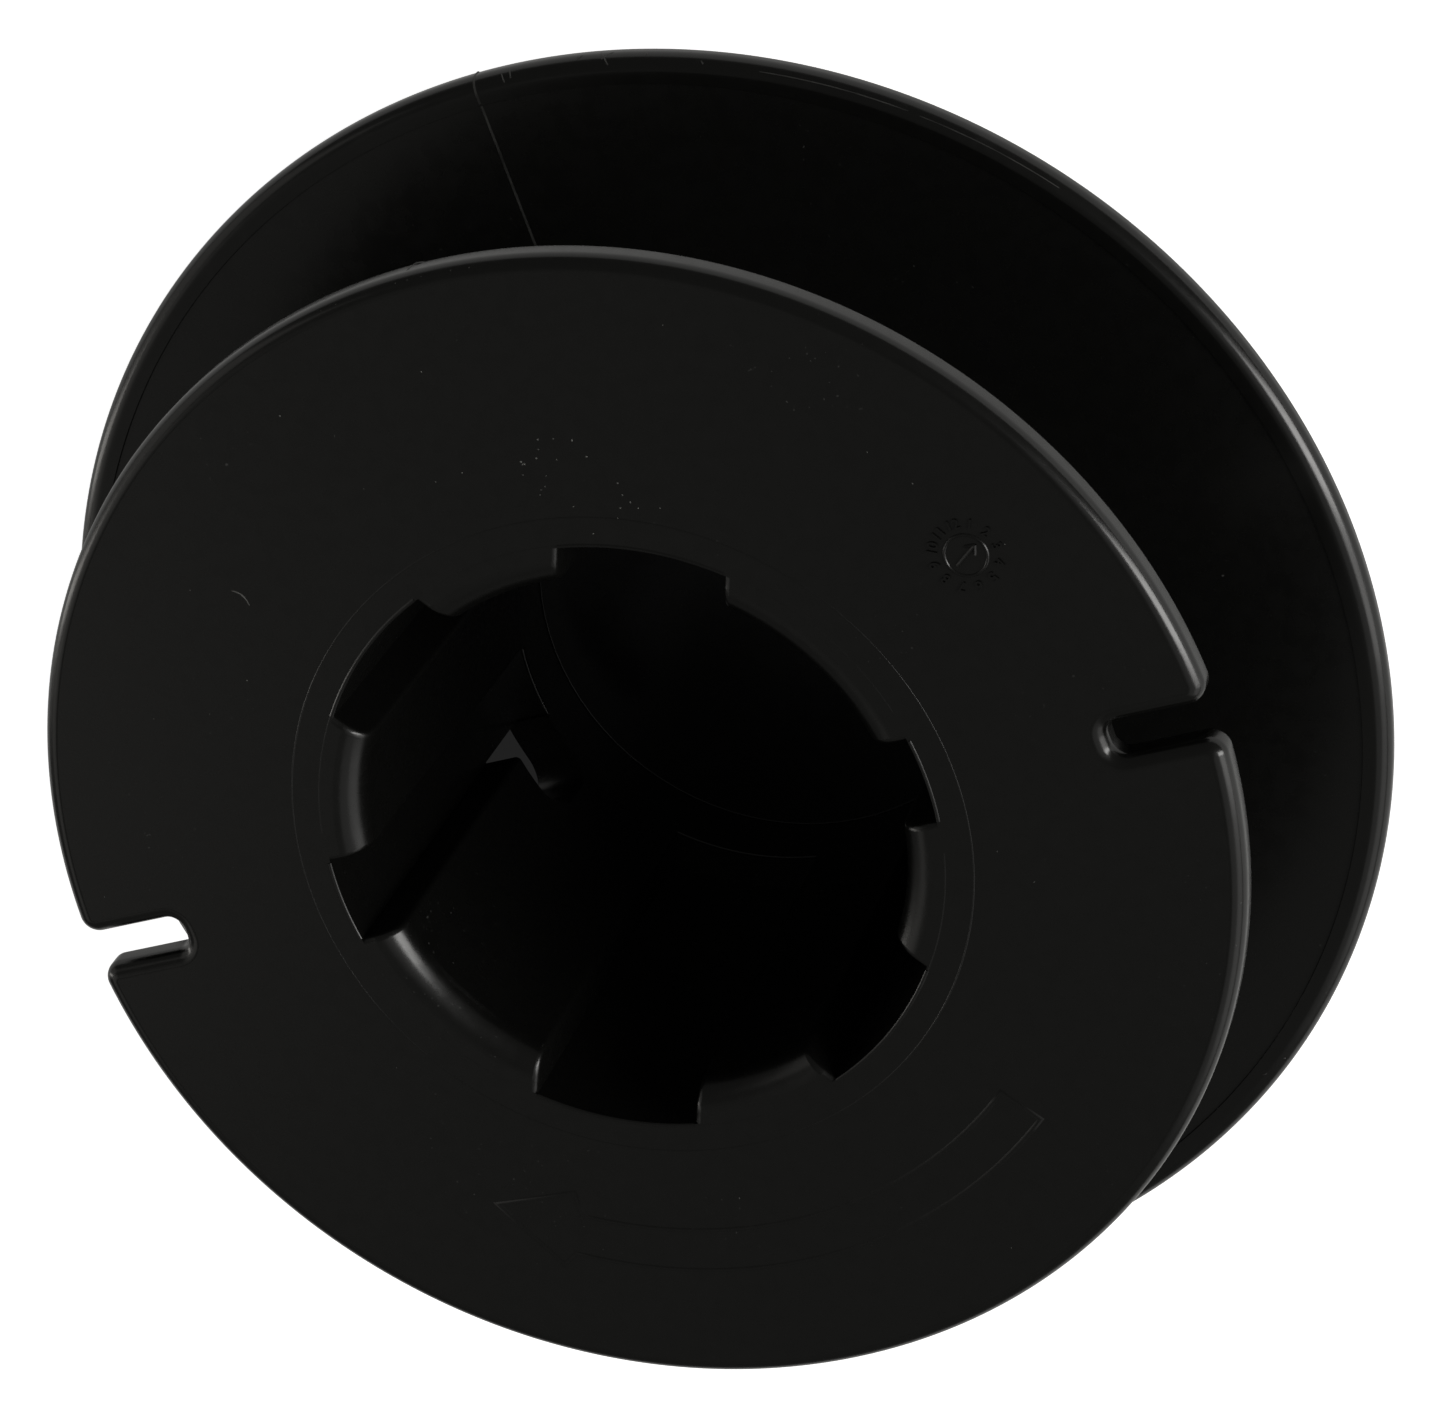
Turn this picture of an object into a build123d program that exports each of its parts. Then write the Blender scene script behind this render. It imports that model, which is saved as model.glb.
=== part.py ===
"""Trimmer line spool: one moulded piece with two flanges, a splined hub and a closed bump end.

The spool stands on its closed end, with its axis along Z and the splined mouth of the hub at the top.
The two line slots in the front flange lie on the X axis.
"""

import os
from math import radians, tan

from build123d import *

# Driving dimensions, in millimetres and degrees

# Front flange, with the two slots that hold the line's ends
front_flange_diameter = 75.7
front_flange_thickness = 2.2
front_edge_radius = 0.9
back_edge_radius = 0.4
slot_width = 2.3
slot_depth = 6.7
slot_end_radius = 0.9
slot_mouth_radius = 1.2

# Rear flange, with a rounded rim that stands a hair proud of its face
rear_flange_diameter = 86.7
rear_flange_thickness = 1.9
rim_proud = 0.1
rim_width = 1.6
rim_front_radius = 1.0
rim_back_radius = 0.75

# Drum that the line is wound on, between the front flange and the rear flange's rim
winding_width = 17.1
drum_diameter = 43.2
drum_root_radius = 1.0

# Bump end, a closed cup below the rear flange with a drafted wall
end_base_diameter = 41.6
end_diameter = 36.6
end_thickness = 3.6
end_edge_radius = 3.5

# Bore, open at the front, with drafted lands down to a round seat and closed by the bump end
bore_diameter = 34.2
seat_diameter = 33.1
bore_depth = 35.2
bore_entry_radius = 1.8
bore_floor_radius = 0.1

# Channels along the bore: six, drafted, of which the two in line with the slots are narrow
channel_root_depth = 2.5
channel_end_root_depth = 2.4
channel_length = 30.4
channel_width = 10.2
narrow_channel_width = 5.5
wide_channel_turn = 7.0
channel_side_draft = 0.55
channel_count = 6
land_edge_radius = 0.4

# Windows through the bump end's wall, beside the inner ends of the narrow channels
window_width = 4.7
window_height = 6.0
window_sill = 0.3
window_corner_radius = 2.0

# Worked out from the driving dimensions

front_flange_radius = front_flange_diameter / 2
rear_flange_radius = rear_flange_diameter / 2
drum_radius = drum_diameter / 2
end_base_radius = end_base_diameter / 2
end_radius = end_diameter / 2
bore_radius = bore_diameter / 2
seat_radius = seat_diameter / 2
channel_radius = bore_radius + channel_root_depth
channel_end_radius = seat_radius + channel_end_root_depth

height = end_thickness + bore_depth
front_flange_back = height - front_flange_thickness
rim_front = front_flange_back - winding_width
rear_flange_face = rim_front - rim_proud
rear_flange_back = rear_flange_face - rear_flange_thickness
rim_inner_radius = rear_flange_radius - rim_width
channel_end = height - channel_length
channel_pitch = 360.0 / channel_count
channel_start = 0.85 * bore_radius
channel_inset = channel_length * tan(radians(channel_side_draft))
window_start = narrow_channel_width / 2 - channel_inset
window_reach = rear_flange_radius

# Corners of the turned section as (radius, height), each with its rounding
section_corners = [
    ((0, 0), 0),
    ((end_radius, 0), end_edge_radius),
    ((end_base_radius, rear_flange_back), drum_root_radius),
    ((rear_flange_radius, rear_flange_back), rim_back_radius),
    ((rear_flange_radius, rim_front), rim_front_radius),
    ((rim_inner_radius, rim_front), rim_proud),
    ((rim_inner_radius - rim_proud, rear_flange_face), rim_proud),
    ((drum_radius, rear_flange_face), drum_root_radius),
    ((drum_radius, front_flange_back), drum_root_radius),
    ((front_flange_radius, front_flange_back), 0),
    ((front_flange_radius, height), 0),
    ((bore_radius, height), bore_entry_radius),
    ((seat_radius, channel_end), 0),
    ((seat_radius, end_thickness), bore_floor_radius),
    ((0, end_thickness), 0),
]


def is_on_bore(edge):
    """True for an edge that runs along the bore or its rounded mouth, not along a channel's root."""
    middle = edge @ 0.5
    return Vector(middle.X, middle.Y).length < (bore_radius + channel_radius) / 2


with BuildPart() as channels:
    # Cone of the channels' roots, left only where the six drafted strips run in from the front
    with Locations((0, 0, channel_end)):
        bottom = (Align.CENTER, Align.CENTER, Align.MIN)
        Cone(channel_end_radius, channel_radius, channel_length, align=bottom)
    with BuildSketch(Plane.XY.offset(height)):
        for index in range(channel_count):
            narrow = index % (channel_count // 2) == 0
            width = narrow_channel_width if narrow else channel_width
            turn = index * channel_pitch + (0 if narrow else wide_channel_turn)
            with PolarLocations(channel_start, 1, start_angle=turn):
                Rectangle(channel_radius, width, align=(Align.MIN, Align.CENTER))
    extrude(amount=-channel_length, taper=channel_side_draft, mode=Mode.INTERSECT)

with BuildPart() as spool:
    # Drum, flanges and bump end, turned from one section
    with BuildSketch(Plane.XZ):
        with BuildLine():
            FilletPolyline(
                [corner for corner, rounding in section_corners],
                radius=[rounding for corner, rounding in section_corners],
                close=True,
            )
        make_face()
    revolve(axis=Axis.Z)

    # Line slots, open at the front flange's rim
    with BuildSketch(Plane.XY.offset(height)):
        with PolarLocations(front_flange_radius, 2):
            RectangleRounded(2 * slot_depth, slot_width, slot_end_radius)
    extrude(amount=-front_flange_thickness, mode=Mode.SUBTRACT)
    slot_mouths = spool.edges().filter_by(Axis.Z).sort_by(SortBy.DISTANCE)[-4:]
    fillet(slot_mouths, slot_mouth_radius)

    # Rounded outline of the front flange, along its rim and round both slots
    flange_back, flange_front = spool.faces().filter_by(Axis.Z).sort_by(Axis.Z)[-2:]
    back_outline = flange_back.outer_wire().edges()
    fillet(flange_front.outer_wire().edges(), front_edge_radius)
    fillet(back_outline, back_edge_radius)

    # Channels between the lands of the bore
    add(channels.part, mode=Mode.SUBTRACT)
    cut_edges = spool.edges(Select.LAST)
    mouth_edges = cut_edges.filter_by(GeomType.LINE).group_by(Axis.Z)[-1]
    bore_edges = cut_edges.filter_by(GeomType.BSPLINE).filter_by(is_on_bore)
    fillet(mouth_edges + bore_edges, land_edge_radius)

    # Windows, flush with a side of each narrow channel and just above its end
    sill_height = channel_end + window_sill
    window_planes = [Plane((0, 0, sill_height), (0, side, 0), (side, 0, 0)) for side in (1, -1)]
    with BuildSketch(*window_planes) as windows:
        with Locations((window_start, 0)):
            Rectangle(window_width, window_height, align=(Align.MIN, Align.MIN))
        fillet(windows.vertices().group_by(Axis.X)[-1], window_corner_radius)
    extrude(amount=window_reach, mode=Mode.SUBTRACT)

spool.part.label = "spool"
os.makedirs("parts", exist_ok=True)
export_step(spool.part, "parts/spool.step")
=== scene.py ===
import random
from math import asin, cos, degrees, pi, radians, sin

import bmesh
import bpy
from mathutils import Matrix, Vector


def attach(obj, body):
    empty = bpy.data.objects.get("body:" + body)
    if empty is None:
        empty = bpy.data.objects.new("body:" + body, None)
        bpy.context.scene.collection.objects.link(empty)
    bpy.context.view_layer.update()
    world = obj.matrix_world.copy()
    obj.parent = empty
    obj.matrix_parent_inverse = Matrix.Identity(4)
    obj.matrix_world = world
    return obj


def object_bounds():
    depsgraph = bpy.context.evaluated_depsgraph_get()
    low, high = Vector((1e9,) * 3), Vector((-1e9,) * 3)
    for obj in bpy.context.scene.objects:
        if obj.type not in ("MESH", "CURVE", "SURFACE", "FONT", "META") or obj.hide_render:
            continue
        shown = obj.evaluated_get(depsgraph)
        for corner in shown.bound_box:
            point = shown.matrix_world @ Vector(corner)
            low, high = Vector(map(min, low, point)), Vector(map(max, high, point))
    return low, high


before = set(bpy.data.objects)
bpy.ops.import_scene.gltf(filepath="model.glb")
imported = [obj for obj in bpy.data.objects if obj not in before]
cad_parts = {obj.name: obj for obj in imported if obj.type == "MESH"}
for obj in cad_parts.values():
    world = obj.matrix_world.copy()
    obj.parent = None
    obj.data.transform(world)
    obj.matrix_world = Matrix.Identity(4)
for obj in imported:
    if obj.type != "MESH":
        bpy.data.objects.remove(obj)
cad_low, cad_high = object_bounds()

# Spool: one piece of black polymer, shot in a mould with two side slides and a core for the splined hub.
# The mould's fine satin texture covers it, and handling has rubbed the rear rim in places.
# Its shape is the CAD body itself, which gets its finish here.

mm = 0.001
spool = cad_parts["spool"]

plastic_black = (0.0038, 0.0038, 0.0035, 1.0)
plastic_cloud = (0.0042, 0.0042, 0.0038, 1.0)
fine_dust_grey = (0.05, 0.05, 0.048, 1.0)
rubbed_grey = (0.009, 0.009, 0.0085, 1.0)
satin_range = (0.25, 0.3)
rub_start, rub_full = 42.3 * mm, 42.9 * mm
flow_depth, texture_depth = 0.05 * mm, 0.003 * mm


def add_node(material, kind, settings=None, **inputs):
    """Adds a shader node, sets its properties, and sets or links its inputs."""
    node = material.node_tree.nodes.new("ShaderNode" + kind)
    for name, value in (settings or {}).items():
        setattr(node, name, value)
    for name, value in inputs.items():
        numbered = name[1:].isdigit()
        socket = node.inputs[int(name[1:])] if numbered else node.inputs[name.replace("_", " ")]
        if isinstance(value, bpy.types.NodeSocket):
            material.node_tree.links.new(value, socket)
        else:
            socket.default_value = value
    return node


def add_noise(material, place, scale, detail=3.0, roughness=0.5):
    """Returns the grey value of a noise with the given number of cells per metre."""
    noise = add_node(material, "TexNoise", Vector=place, Scale=scale, Detail=detail, Roughness=roughness)
    return noise.outputs["Fac"]


def add_range(material, value, low, high, to_low=0.0, to_high=1.0):
    """Returns a value stretched from one range to another, and held at its ends."""
    stretch = add_node(material, "MapRange", None, i0=value, i1=low, i2=high, i3=to_low, i4=to_high)
    return stretch.outputs[0]


def add_product(material, first, second):
    """Returns the product of two values."""
    return add_node(material, "Math", {"operation": "MULTIPLY"}, i0=first, i1=second).outputs[0]


def add_colours(material, factor, low, high):
    """Returns a colour between two, by a factor."""
    mix = add_node(material, "Mix", {"data_type": "RGBA"}, i0=factor, i6=low, i7=high)
    return mix.outputs[2]


def new_material(name):
    """Returns a node material, its Principled shader and its place on the piece."""
    material = bpy.data.materials.new(name)
    material.use_nodes = True
    place = add_node(material, "TexCoord").outputs["Object"]
    return material, material.node_tree.nodes["Principled BSDF"], place


satin_black, satin_shader, place = new_material("satin_black_plastic")
flat_place = add_node(satin_black, "VectorMath", {"operation": "MULTIPLY"}, i0=place, i1=(1.0, 1.0, 0.0))
reach = add_node(satin_black, "VectorMath", {"operation": "LENGTH"}, i0=flat_place.outputs[0])

clouds = add_noise(satin_black, place, 60.0)
grain = add_noise(satin_black, place, 5200.0, 2.0)
cloud_share = add_range(satin_black, clouds, 0.3, 0.7)
plastic_colour = add_colours(satin_black, cloud_share, plastic_black, plastic_cloud)

# Fine dust in loose groups, and rubbed spots on the rear flange's rim
groups = add_range(satin_black, add_noise(satin_black, place, 95.0), 0.57, 0.7)
dots = add_range(satin_black, add_noise(satin_black, place, 3600.0, 1.0), 0.75, 0.78)
fine_dust = add_product(satin_black, groups, dots)
dusty_colour = add_colours(satin_black, fine_dust, plastic_colour, fine_dust_grey)
on_rear_rim = add_range(satin_black, reach.outputs["Value"], rub_start, rub_full)
rub_patches = add_range(satin_black, add_noise(satin_black, place, 420.0, 4.0), 0.6, 0.72)
rubbed = add_product(satin_black, on_rear_rim, rub_patches)
worn_colour = add_colours(satin_black, rubbed, dusty_colour, rubbed_grey)
satin_black.node_tree.links.new(worn_colour, satin_shader.inputs["Base Color"])

# Satin in the flats, a little rougher where the mould's texture is deeper
satin_roughness = add_range(satin_black, add_noise(satin_black, place, 900.0), 0.3, 0.7, *satin_range)
satin_black.node_tree.links.new(satin_roughness, satin_shader.inputs["Roughness"])
flow = add_node(satin_black, "Bump", Height=clouds, Strength=0.03, Distance=flow_depth)
texture = add_node(satin_black, "Bump", Height=grain, Strength=0.3, Distance=texture_depth,
                   Normal=flow.outputs[0])
satin_black.node_tree.links.new(texture.outputs[0], satin_shader.inputs["Normal"])

spool.data.materials.clear()
spool.data.materials.append(satin_black)

# Flange rims: the moulded outer edges of the two flanges, polished in the mould and by the line.
# Each is a closed skin a hundredth of a millimetre proud of the body, drawn fine for smooth highlights.
# The front rim goes round both line slots, and the rear rim has the low step of its bead.

front_height = cad_high[2] / mm
skin = 0.01
front_radius, front_rounding = 37.85, 0.9
front_back, front_back_rounding = 36.6, 0.4
slot_side, slot_end, slot_corner, mouth_rounding = 1.15, 31.15, 0.9, 1.2
rear_radius, rear_rounding = 43.35, 1.0
rear_height = 19.5
rear_back, rear_back_rounding = 17.5, 0.75

polished_black = satin_black.copy()
polished_black.name = "polished_black_plastic"
polish = polished_black.node_tree.nodes[satin_roughness.node.name]
polish.inputs[3].default_value, polish.inputs[4].default_value = 0.2, 0.24


def on_face(radius, angle, height=front_height):
    """Returns a point, in millimetres, at a radius and an angle in degrees."""
    return Vector((radius * cos(radians(angle)), radius * sin(radians(angle)), height))


def add_piece(name, form, material):
    """Makes a mesh object of a bmesh in millimetres, moving with the spool and finished as it is."""
    bmesh.ops.recalc_face_normals(form, faces=form.faces)
    bmesh.ops.scale(form, vec=(mm, mm, mm), verts=form.verts)
    mesh = bpy.data.meshes.new(name)
    form.to_mesh(mesh)
    form.free()
    mesh.shade_smooth()
    mesh.set_sharp_from_angle(angle=radians(50))
    mesh.materials.append(material)
    piece = bpy.data.objects.new(name, mesh)
    bpy.context.scene.collection.objects.link(piece)
    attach(piece, "root")


def add_sweep(form, path, outward, section):
    """Adds a closed skin: a closed section of (inset, height) swept along a closed path."""
    rings = []
    for spot, away in zip(path, outward):
        insets = [((spot - away * inset).to_3d(), height) for inset, height in section]
        rings.append([form.verts.new(point + Vector((0, 0, height))) for point, height in insets])
    for ring, following in zip(rings, rings[1:] + rings[:1]):
        for corner in range(len(section)):
            other = (corner + 1) % len(section)
            form.faces.new((ring[corner], following[corner], following[other], ring[other]))


def arc_points(centre, radius, start, stop, step):
    """Returns points along an arc, in degrees, in about equal steps."""
    count = max(1, round(abs(stop - start) / step))
    angles = [radians(start + (stop - start) * index / count) for index in range(count + 1)]
    return [Vector((centre[0] + radius * cos(angle), centre[1] + radius * sin(angle))) for angle in angles]


def arc_directions(start, stop, step, facing=1):
    """Returns the directions out of an arc's points, or in towards its centre."""
    return [point * facing for point in arc_points((0, 0), 1, start, stop, step)]


def edge_section(top, top_rounding, bottom, bottom_rounding, top_step, bottom_step):
    """Returns the (inset, height) points round a flange's two rounded edges, from top to bottom."""
    over = [(top_rounding - spot.x, top - top_rounding + spot.y)
            for spot in arc_points((0, 0), top_rounding + skin, 90, 0, top_step)]
    under = [(bottom_rounding - spot.x, bottom + bottom_rounding + spot.y)
             for spot in arc_points((0, 0), bottom_rounding + skin, 0, -90, bottom_step)]
    return over + under


# Half of the front outline: the rim, then the slot's mouth, side, two corners, side and mouth
mouth_height = slot_side + mouth_rounding
mouth_turn = degrees(asin(mouth_height / (front_radius - mouth_rounding)))
mouth_reach = (front_radius - mouth_rounding) * cos(radians(mouth_turn))
corner_reach = slot_end + slot_corner
corner_height = slot_side - slot_corner
half_path = arc_points((0, 0), front_radius, mouth_turn, 180 - mouth_turn, 1)
half_out = arc_directions(mouth_turn, 180 - mouth_turn, 1)
half_path += arc_points((-mouth_reach, mouth_height), mouth_rounding, 180 - mouth_turn, 270, 6)[1:]
half_out += arc_directions(180 - mouth_turn, 270, 6)[1:]
half_path += arc_points((-corner_reach, corner_height), slot_corner, 90, 0, 9)
half_out += arc_directions(90, 0, 9, -1)
half_path += arc_points((-corner_reach, -corner_height), slot_corner, 0, -90, 9)
half_out += arc_directions(0, -90, 9, -1)
half_path += arc_points((-mouth_reach, -mouth_height), mouth_rounding, 90, 180 + mouth_turn, 6)[:-1]
half_out += arc_directions(90, 180 + mouth_turn, 6)[:-1]
front_path = half_path + [-spot for spot in half_path]
front_out = half_out + [-away for away in half_out]

# Each section starts just under the face, runs over the rim and closes inside the flange
front_section = [(1.1, front_height - 0.02), (0.98, front_height - 0.002)]
front_section += edge_section(front_height, front_rounding, front_back, front_back_rounding, 6, 10)
front_section += [(0.5, front_back + 0.02), (0.7, front_back + 0.6), (0.9, front_height - 0.5)]
rims_form = bmesh.new()
add_sweep(rims_form, front_path, front_out, front_section)

rear_section = [(1.8, rear_height - 0.13), (1.79, rear_height - 0.1), (1.77, rear_height - 0.01)]
rear_section += [(inset, rear_height + skin) for inset in (1.755, 1.745, 1.2)]
rear_section += edge_section(rear_height, rear_rounding, rear_back, rear_back_rounding, 5, 7.5)
rear_section += [(0.85, rear_back + 0.02), (1.0, rear_back + 0.6), (1.5, rear_height - 0.4)]
add_sweep(rims_form, arc_points((0, 0), rear_radius, 0, 359, 1), arc_directions(0, 359, 1), rear_section)
add_piece("flange_rims", rims_form, polished_black)

# Witness rings: the thin raised lines that the edges of the hub's core leave on the front face.
# They are part of the moulding, and only as high as the gap between core and plate.
# The outer ring runs all round, and the inner one shows between the channels' mouths.

sink = 0.02
outer_ring_radius, outer_ring_width, outer_ring_height = 21.5, 0.13, 0.018
inner_ring_radius, inner_ring_width, inner_ring_height = 19.75, 0.1, 0.004
first_land, land_pitch = 14, 60
low_ridge = ((-0.5, 0.0), (-0.3, 0.7), (0.0, 1.0), (0.3, 0.7), (0.5, 0.0))
up = Vector((0, 0, 1))


def add_ridge(form, points, normals, width, height, closed=False, tapered=False, outline=low_ridge):
    """Adds a rounded ridge along points on a surface, with its feet just below it."""
    count = len(points)
    rings = []
    for index, (point, normal) in enumerate(zip(points, normals)):
        before = points[index - 1] if closed or index else point
        after = points[(index + 1) % count] if closed or index < count - 1 else point
        sides = [step.cross(normal).normalized() for step in (point - before, after - point) if step.length]
        side = sum(sides, Vector()).normalized()
        mitre = 1.0 / max(side.dot(sides[0]), 0.5)
        share = sin(pi * index / (count - 1)) if tapered else 1.0
        ring = []
        for across, rise in outline:
            lift = rise * height * share if rise else -sink
            ring.append(form.verts.new(point + side * across * width * mitre + normal * lift))
        rings.append(ring)
    pairs = list(zip(rings, rings[1:])) + ([(rings[-1], rings[0])] if closed else [])
    for ring, following in pairs:
        for corner in range(len(outline)):
            other = (corner + 1) % len(outline)
            form.faces.new((ring[corner], ring[other], following[other], following[corner]))
    if not closed:
        form.faces.new(rings[0])
        form.faces.new(rings[-1])


rings_form = bmesh.new()
outer_ring = [on_face(outer_ring_radius, angle) for angle in range(0, 360, 2)]
add_ridge(rings_form, outer_ring, [up] * len(outer_ring), outer_ring_width, outer_ring_height, closed=True)
for land in range(6):
    start = land * land_pitch + first_land
    inner_arc = [on_face(inner_ring_radius, start + step * 2) for step in range(17)]
    add_ridge(rings_form, inner_arc, [up] * len(inner_arc), inner_ring_width, inner_ring_height)
add_piece("witness_rings", rings_form, satin_black)

# Hub edges: the lightly rounded edges of the six channels, where they open at the face and where they end.
# They are part of the moulding, and each catches a thin line of light.
# Each channel has its middle angle and the half angles of its ledge and of its mouth.

channel_runs = [(0, 8.5, 7.9), (67, 16.8, 15.0), (127, 16.8, 15.0)]
channel_runs += [(180, 8.5, 7.9), (247, 16.8, 15.0), (307, 16.8, 15.0)]
ledge_radius, ledge_height = 16.55, 8.4
mouth_radius = 19.6
edge_rounding, edge_sink = 0.15, 0.13
half_round = [(cos(radians(turn)) / 2, sin(radians(turn))) for turn in range(180, -1, -20)]
edges_form = bmesh.new()
for middle, ledge_half, mouth_half in channel_runs:
    ledge_edge = (ledge_radius, ledge_height, ledge_half)
    mouth_edge = (mouth_radius, front_height, mouth_half)
    for edge_radius, edge_height, half in (ledge_edge, mouth_edge):
        edge_angles = [middle + half * (step / 6 - 1) for step in range(13)]
        edge_out = [(up - on_face(1, angle, 0)).normalized() for angle in edge_angles]
        edge = [on_face(edge_radius, angle, edge_height) - out * edge_sink
                for angle, out in zip(edge_angles, edge_out)]
        add_ridge(edges_form, edge, edge_out, 2 * edge_rounding, edge_rounding, outline=half_round)
add_piece("hub_edges", edges_form, satin_black)

# Winding arrow: the raised outline on the front face that shows which way the line goes on.
# It is cut into the mould's plate, so it stands up as a fine even line.

arrow_line, arrow_height = 0.4, 0.05
arrow_outer, arrow_inner = 30.15, 27.25
tail_angle, neck_angle, arrow_steps = 309.4, 243.0, 34
arrow_head = [(31.26, 241.8), (28.53, 231.9), (25.72, 241.6)]
sweep = [tail_angle + (neck_angle - tail_angle) * step / (arrow_steps - 1) for step in range(arrow_steps)]
arrow_outline = [on_face(arrow_outer, angle) for angle in sweep]
arrow_outline += [on_face(radius, angle) for radius, angle in arrow_head]
arrow_outline += [on_face(arrow_inner, angle) for angle in reversed(sweep)]
arrow_form = bmesh.new()
add_ridge(arrow_form, arrow_outline, [up] * len(arrow_outline), arrow_line, arrow_height, closed=True)
add_piece("winding_arrow", arrow_form, satin_black)

# Date dial: the print of a round insert in the mould, with the months as plain numbers and a turned pointer.
# The maker sets the pointer with a screwdriver, so its slot and tip stand up most.

dial_place = Vector((26.80, 13.35, front_height))
dial_turn = 4.8
dial_radius, dial_line, dial_height = 1.3, 0.22, 0.09
pointer_turn, pointer_half, pointer_line, pointer_height = 30, 0.85, 0.3, 0.14
tip_reach, barb_reach, barb_spread, barb_line, barb_height = 0.9, 0.4, 0.38, 0.24, 0.12
number_ring, number_base = 1.98, 0.03
number_size, number_height, number_weight = 0.9, 0.07, 0.012

dial_form = bmesh.new()
dial_circle = [dial_place + on_face(dial_radius, angle, 0) for angle in range(0, 360, 10)]
add_ridge(dial_form, dial_circle, [up] * len(dial_circle), dial_line, dial_height, closed=True)
pointer = on_face(1, pointer_turn + dial_turn, 0)
beside = Vector((-pointer.y, pointer.x, 0))
shaft = [dial_place - pointer * pointer_half, dial_place + pointer * pointer_half]
add_ridge(dial_form, shaft, [up] * 2, pointer_line, pointer_height)
for hand in (1, -1):
    barb_end = dial_place + pointer * barb_reach + beside * barb_spread * hand
    add_ridge(dial_form, [dial_place + pointer * tip_reach, barb_end], [up] * 2, barb_line, barb_height)
for month in range(1, 13):
    text = bpy.data.curves.new("month", "FONT")
    text.body = str(month)
    text.size = number_size
    text.extrude = number_height
    text.offset = number_weight
    text.align_x, text.align_y = "CENTER", "CENTER"
    writing = bpy.data.objects.new("month", text)
    shape = bpy.data.meshes.new_from_object(writing)
    angle = 90 - 30 * month + dial_turn
    spot = dial_place + on_face(number_ring, angle, number_base)
    shape.transform(Matrix.Translation(spot) @ Matrix.Rotation(radians(angle - 90), 4, "Z"))
    dial_form.from_mesh(shape)
    bpy.data.objects.remove(writing)
    bpy.data.curves.remove(text)
    bpy.data.meshes.remove(shape)
bmesh.ops.remove_doubles(dial_form, verts=dial_form.verts, dist=0.0005)
add_piece("date_dial", dial_form, satin_black)

# Parting lines: where the two side slides of the mould meet, a hair of flash runs across the winding groove.
# It goes over the rear rim, along the flange, up the drum and out again under the front flange.
# One small bead of flash is left on the front rim.

slide_angles = (90.5, 270.5)
flash_width, flash_height = 0.16, 0.07
drum_radius, root_rounding, rear_face = 21.6, 1.0, 19.4
root_reach = drum_radius + root_rounding
drum_top = front_back - root_rounding
bead_radius, bead_level, bead_width, bead_height = 37.82, 36.95, 0.3, 0.12
flash_black = (0.012, 0.012, 0.0115, 1.0)
flash_grey = (0.05, 0.05, 0.047, 1.0)

trimmed_flash, flash_shader, flash_place = new_material("trimmed_flash")
flash_patches = add_range(trimmed_flash, add_noise(trimmed_flash, flash_place, 700.0), 0.35, 0.7)
flash_colour = add_colours(trimmed_flash, flash_patches, flash_black, flash_grey)
trimmed_flash.node_tree.links.new(flash_colour, flash_shader.inputs["Base Color"])
flash_shader.inputs["Roughness"].default_value = 0.5

rim_centre = (rear_radius - rear_rounding, rear_height - rear_rounding)
groove = [(rear_radius + skin, 18.0)]
groove += arc_points(rim_centre, rear_rounding, 0, 90, 15)
groove += [(41.75, rear_height), (41.65, rear_face), (32.0, rear_face), (root_reach, rear_face)]
groove += arc_points((root_reach, rear_face + root_rounding), root_rounding, 255, 180, 15)
groove += [(drum_radius, 28.0), (drum_radius, drum_top)]
groove += arc_points((root_reach, drum_top), root_rounding, 165, 90, 15)
groove += [(30.0, front_back), (37.45, front_back), (37.73, 36.72), (front_radius, 37.0), (front_radius, 37.8)]

parting_form = bmesh.new()
for side_angle in slide_angles:
    outward = on_face(1, side_angle, 0)
    path = [outward * away + up * height for away, height in groove]
    across = outward.cross(up)
    steps = [(after - before).normalized() for before, after in zip(path, path[1:])]
    bends = [steps[0]] + [(one + two).normalized() for one, two in zip(steps, steps[1:])] + [steps[-1]]
    add_ridge(parting_form, path, [across.cross(bend) for bend in bends], flash_width, flash_height)
bead_angles = [89.2 + step * 0.2 for step in range(8)]
bead = [on_face(bead_radius, angle, bead_level) for angle in bead_angles]
bead_out = [on_face(1, angle, 0) for angle in bead_angles]
add_ridge(parting_form, bead, bead_out, bead_width, bead_height, tapered=True)
add_piece("parting_lines", parting_form, trimmed_flash)

# Gate mark: the trimmed stub on the front flange's rim where the polymer ran in.
# It was cut off by hand, so a thin sliver stands proud of the rim.

gate_radius, gate_level, gate_width, gate_height = 37.84, 37.4, 1.1, 0.2
gate_angles = [251.4 + step * 0.8 for step in range(11)]
gate_path = [on_face(gate_radius, angle, gate_level) for angle in gate_angles]
gate_out = [on_face(1, angle, 0) for angle in gate_angles]
gate_form = bmesh.new()
add_ridge(gate_form, gate_path, gate_out, gate_width, gate_height, tapered=True)
add_piece("gate_mark", gate_form, satin_black)

# Nicks in the rear rim: short burrs where the spool has been knocked, and two long fine scratches.
# They stand up pale from the black on the rounded front of the bead, most of them close together.
# Each run has its angles round the rim, from and to, and its turns up the rounding, low and high.

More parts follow.
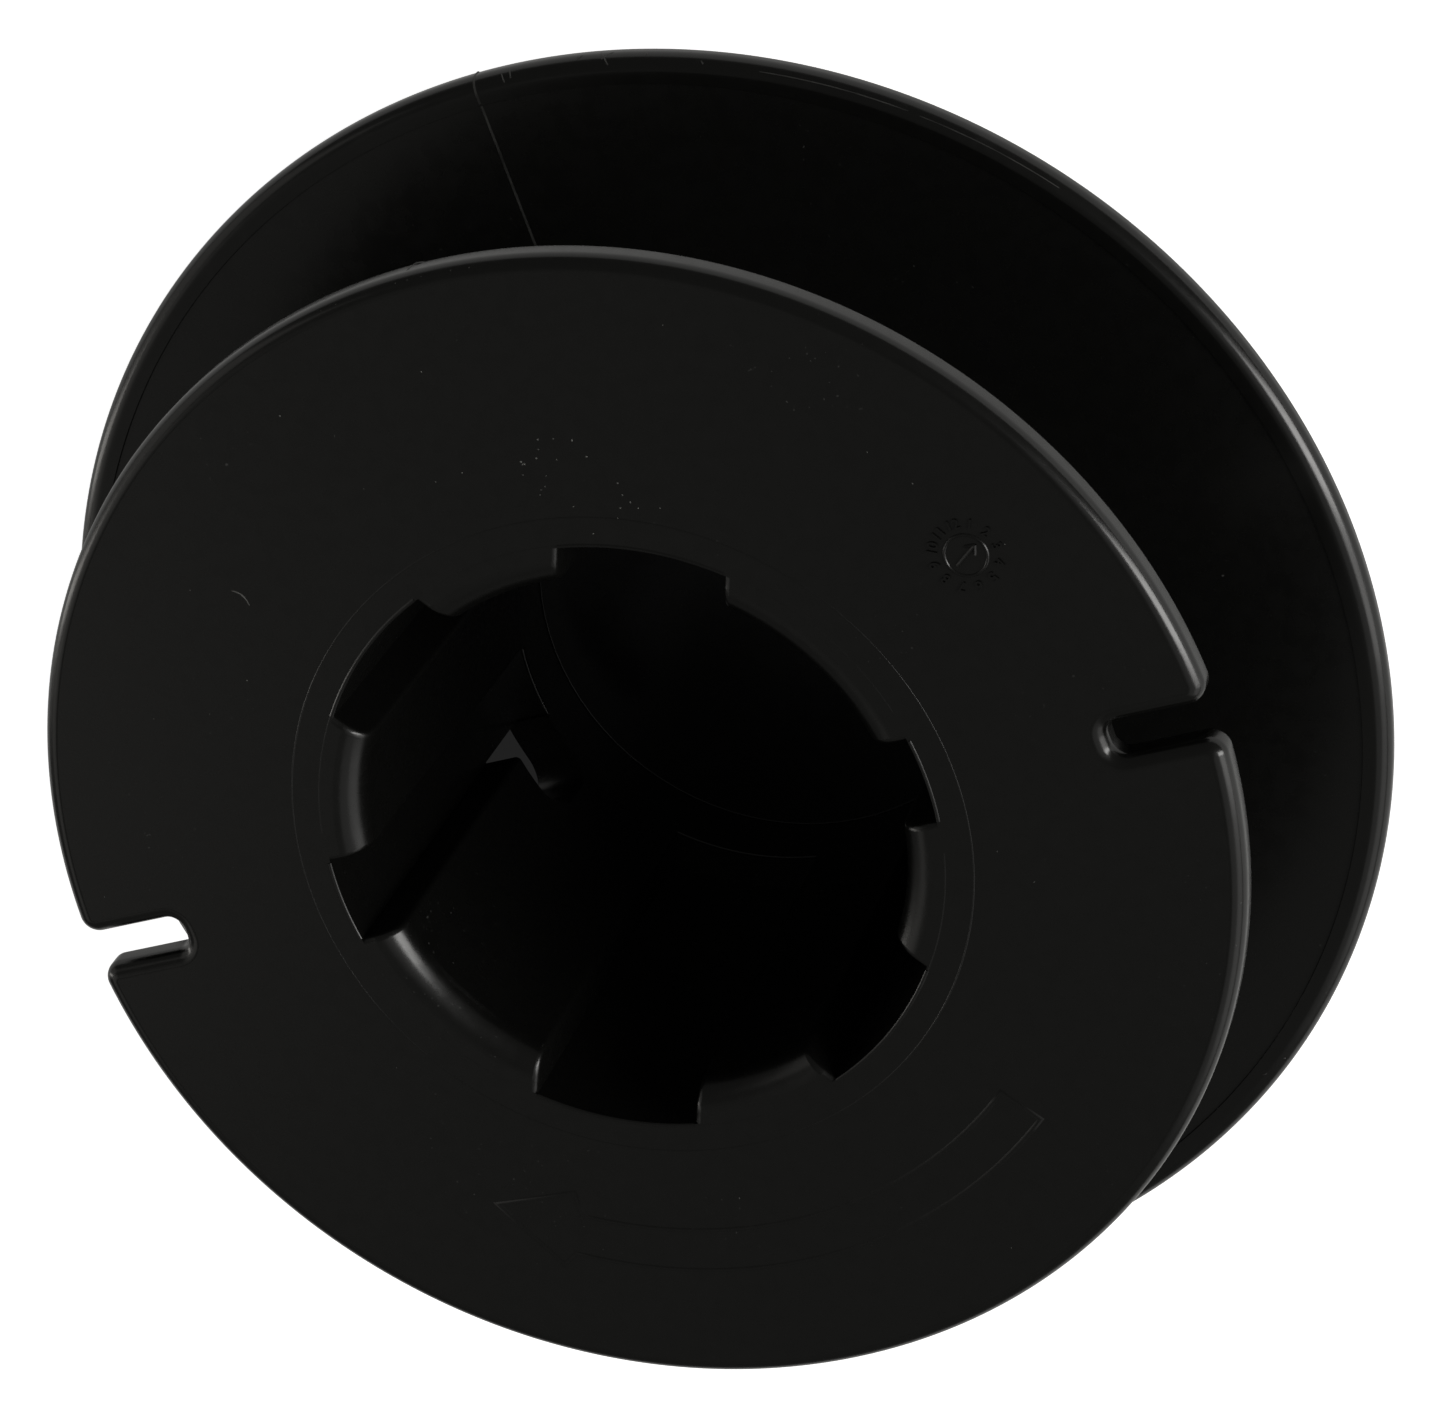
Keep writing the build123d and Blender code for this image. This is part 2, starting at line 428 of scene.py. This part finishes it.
nick_runs = [(88.0, 87.8, 38, 72), (87.3, 87.2, 20, 62), (81.5, 81.2, 8, 36), (81.0, 81.4, 10, 34)]
nick_runs += [(79.5, 78.7, 2, 62), (78.4, 79.3, 4, 40), (75.6, 75.5, 16, 30), (70.9, 70.7, 44, 56)]
nick_runs += [(-48.2, -48.3, 62, 70), (-50.4, -50.8, 84, 94)]
scratch_runs = [(40.0, 52.5, 54, 57), (53.5, 66.0, 56, 58)]
nick_steps, nick_width, nick_height = 6, 0.11, 0.05
scratch_steps, scratch_width, scratch_height = 14, 0.08, 0.025


def add_rim_mark(form, run, steps, width, height):
    """Adds a burr along a run on the rear rim's rounded front."""
    from_angle, to_angle, low_turn, high_turn = run
    burr, burr_out = [], []
    for step in range(steps + 1):
        angle = from_angle + (to_angle - from_angle) * step / steps
        turn = radians(low_turn + (high_turn - low_turn) * step / steps)
        burr_out.append(on_face(cos(turn), angle, sin(turn)))
        centre = on_face(rear_radius - rear_rounding, angle, rear_height - rear_rounding)
        burr.append(centre + burr_out[-1] * (rear_rounding + skin))
    add_ridge(form, burr, burr_out, width, height, tapered=True)


nicks_form = bmesh.new()
for run in nick_runs:
    add_rim_mark(nicks_form, run, nick_steps, nick_width, nick_height)
for run in scratch_runs:
    add_rim_mark(nicks_form, run, scratch_steps, scratch_width, scratch_height)
add_piece("rim_nicks", nicks_form, trimmed_flash)

# Dust: pale grains and one short fibre that lie on the front face, most of them in loose groups by the hub.
# They are workshop dust, a tenth of a millimetre or less across, and a few grains have caught on the rim.
# Each group has its count, the middle of its place, and how far it spreads.

grain_groups = [(15, 3.6, 24.6, 0.9, 1.5), (9, 7.0, 20.8, 1.5, 0.8)]
loose_grains, loose_from, loose_to = 20, 22.5, 36.0
rim_grain_radius, rim_grain_height, rim_grain_half = 37.5, 38.6, 0.05
rim_grain_angles = (84.2, 86.0, 88.9, 90.3, 91.5, 97.8, 99.4)
fibre_width, fibre_height = 0.09, 0.06
dust_dark = (0.04, 0.04, 0.038, 1.0)
dust_pale = (0.17, 0.17, 0.16, 1.0)

workshop_dust, dust_shader, dust_place = new_material("workshop_dust")
dust_tone = add_range(workshop_dust, add_noise(workshop_dust, dust_place, 900.0), 0.3, 0.7)
dust_colour = add_colours(workshop_dust, dust_tone, dust_dark, dust_pale)
workshop_dust.node_tree.links.new(dust_colour, dust_shader.inputs["Base Color"])
dust_shader.inputs["Roughness"].default_value = 0.8

chance = random.Random(11)
grain_spots = []
for count, middle_x, middle_y, spread_x, spread_y in grain_groups:
    for grain_index in range(count):
        spot = Vector((chance.gauss(middle_x, spread_x), chance.gauss(middle_y, spread_y), front_height))
        grain_spots.append((spot, chance.uniform(0.05, 0.09)))
for grain_index in range(loose_grains):
    spot = on_face(chance.uniform(loose_from, loose_to), chance.uniform(0, 360))
    grain_spots.append((spot, chance.uniform(0.035, 0.07)))
for angle in rim_grain_angles:
    grain_spots.append((on_face(rim_grain_radius, angle, rim_grain_height), rim_grain_half))
dust_form = bmesh.new()
for spot, half in grain_spots:
    size = Matrix.Diagonal((half, half * chance.uniform(0.5, 1.0), half * 0.6, 1.0))
    turned = Matrix.Rotation(chance.uniform(0, pi), 4, "Z")
    lying = Matrix.Translation(spot) @ turned @ size
    bmesh.ops.create_icosphere(dust_form, subdivisions=1, radius=1.0, matrix=lying)
fibre = [on_face(28.41 - 0.28 * step, 130.9 + 0.08 * step - 0.5 * sin(pi * step / 5)) for step in range(6)]
add_ridge(dust_form, fibre, [up] * len(fibre), fibre_width, fibre_height, tapered=True)
add_piece("dust", dust_form, workshop_dust)

# Floor: a pale matt studio floor under the spool, white to the eye.
# It keeps the spool's shadow, and has a painted shadow right under the spool's foot: a dark disc that fades
# out between 28 and 33 mm from the axis, where the floor's glow fades out with it.

floor_half = 2.0
# Painted shadow under the foot: fully dark within the first radius, faded to the pale floor by the second
painted_shadow_edge, painted_shadow_fade_end = 28 * mm, 33 * mm
painted_shadow_dark = (0.02, 0.02, 0.02, 1.0)
floor_pale = (0.8, 0.8, 0.79, 1.0)
floor_glow, mirrored_share = 0.92, 0.22

floor_form = bmesh.new()
bmesh.ops.create_grid(floor_form, x_segments=1, y_segments=1, size=floor_half)
floor_mesh = bpy.data.meshes.new("floor")
floor_form.to_mesh(floor_mesh)
floor_form.free()
floor = bpy.data.objects.new("floor", floor_mesh)
bpy.context.scene.collection.objects.link(floor)

floor_paint, floor_shader, floor_place = new_material("pale_floor")
floor_mesh.materials.append(floor_paint)
floor_reach = add_node(floor_paint, "VectorMath", {"operation": "LENGTH"}, i0=floor_place)
# Painted shadow mask: 0.013 under the foot and 1 on the open floor; it sets both the floor's colour and its
# glow
beyond_painted_shadow = add_range(floor_paint, floor_reach.outputs["Value"], painted_shadow_edge, painted_shadow_fade_end, 0.013, 1.0)
floor_colour = add_colours(floor_paint, beyond_painted_shadow, painted_shadow_dark, floor_pale)
floor_paint.node_tree.links.new(floor_colour, floor_shader.inputs["Base Color"])
floor_shader.inputs["Roughness"].default_value = 0.9
floor_shader.inputs["Specular IOR Level"].default_value = 0.0
rays = add_node(floor_paint, "LightPath")
mirrored = add_product(floor_paint, rays.outputs["Is Glossy Ray"], mirrored_share)
seen = add_node(floor_paint, "Math", {"operation": "ADD"}, i0=rays.outputs["Is Camera Ray"], i1=mirrored)
seen = add_node(floor_paint, "Math", {"operation": "ADD", "use_clamp": True}, i0=seen.outputs[0],
                i1=rays.outputs["Is Transmission Ray"])
glow = add_product(floor_paint, add_product(floor_paint, seen.outputs[0], beyond_painted_shadow), floor_glow)
floor_shader.inputs["Emission Color"].default_value = (1.0, 1.0, 1.0, 1.0)
floor_paint.node_tree.links.new(glow, floor_shader.inputs["Emission Strength"])

# Lights: soft boxes and panels round the spool, strongest at the right, in a dim even studio.
# Each stands at a compass angle and a height angle from the spool's middle, at a distance in metres.

spool_middle = Vector((0, 0, 0.025))
right_tint, left_tint, back_tint = (1.0, 0.99, 0.97), (1.0, 0.97, 0.92), (1.0, 1.0, 0.95)

world = bpy.data.worlds.new("studio")
world.use_nodes = True
world.node_tree.nodes["Background"].inputs["Color"].default_value = (*back_tint, 1.0)
world.node_tree.nodes["Background"].inputs["Strength"].default_value = 0.09
bpy.context.scene.world = world


def add_softbox(name, azimuth, elevation, distance, size, power, colour):
    """Adds an area light that faces the spool from a direction in degrees."""
    light = bpy.data.lights.new(name, "AREA")
    light.shape = "RECTANGLE"
    light.size, light.size_y = size
    light.energy = power
    light.color = colour
    lamp = bpy.data.objects.new(name, light)
    away = on_face(cos(radians(elevation)), azimuth, sin(radians(elevation)))
    lamp.location = spool_middle + away * distance
    lamp.rotation_euler = away.to_track_quat("Z", "Y").to_euler()
    bpy.context.scene.collection.objects.link(lamp)


add_softbox("key_light", -5, 26, 0.7, (0.2, 0.45), 2.1, right_tint)
add_softbox("right_softbox", -18, 22, 0.7, (0.36, 0.5), 0.9, right_tint)
add_softbox("right_panel", -46, 22, 0.8, (0.6, 0.5), 0.45, right_tint)
add_softbox("right_glow", -40, 42, 0.9, (1.2, 1.1), 1.2, right_tint)
add_softbox("left_softbox", 171, 14, 0.7, (0.07, 0.4), 0.34, left_tint)
add_softbox("left_panel", 160, 24, 0.7, (0.6, 0.5), 0.3, left_tint)
add_softbox("left_glow", 190, 42, 0.7, (0.36, 0.3), 0.12, left_tint)
add_softbox("back_panel", 222, 58, 1.0, (0.9, 0.7), 0.075, back_tint)

# Camera: a long lens that looks down on the front flange from the photograph's angle.
# It is rolled, because the spool lay askew in the picture.

eye = Vector((127.93, 113.691, 308.825)) * mm
aim = Vector((8.974, 7.124, 38.8)) * mm
roll = radians(148.32)
camera_data = bpy.data.cameras.new("camera")
camera_data.lens = 131.543
camera_data.sensor_width = 36.0
camera_data.sensor_fit = "HORIZONTAL"
camera_data.clip_start = 0.01
camera = bpy.data.objects.new("camera", camera_data)
bpy.context.scene.collection.objects.link(camera)
ahead = (aim - eye).normalized()
level = ahead.cross(up).normalized()
head = level.cross(ahead) * cos(roll) + level * sin(roll)
turned_axes = Matrix((ahead.cross(head), head, -ahead)).transposed()
camera.matrix_world = Matrix.Translation(eye) @ turned_axes.to_4x4()
bpy.context.scene.camera = camera
bpy.context.scene.view_settings.view_transform = "Standard"
